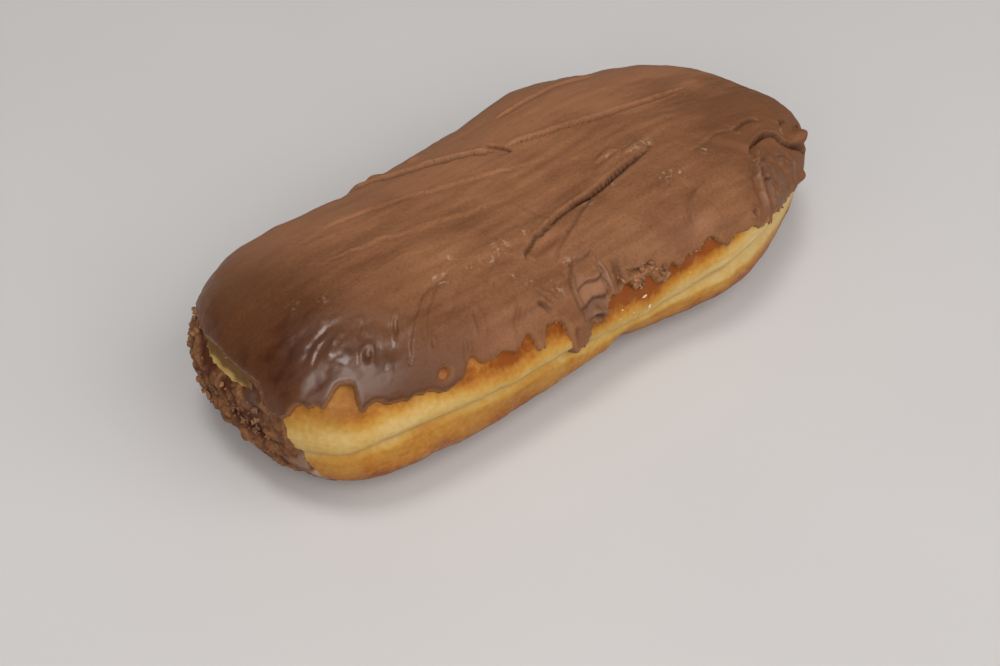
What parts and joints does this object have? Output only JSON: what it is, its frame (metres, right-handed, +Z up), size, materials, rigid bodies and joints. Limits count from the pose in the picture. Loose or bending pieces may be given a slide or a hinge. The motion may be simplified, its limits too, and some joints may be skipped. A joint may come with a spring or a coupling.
{
  "type": "long john doughnut",
  "caption": "Oblong fried-dough doughnut with a pale belt, chocolate icing over the top and torn icing down one end.",
  "frame": {"origin": "middle of the doughnut's box in plan, on the surface it rests on", "axes": "+X along the doughnut away from the end with the torn icing, +Y towards its back long side, +Z up"},
  "size_m": [0.1775, 0.0841, 0.0433],
  "materials": {
    "crust": "matt fried crust, golden brown above and below a pale cream belt",
    "icing": "soft satin milk chocolate icing, knife-spread, a little glossier at one end"
  },
  "bodies": {
    "root": {"dough": "crust", "icing": "icing"}
  },
  "joints": []
}
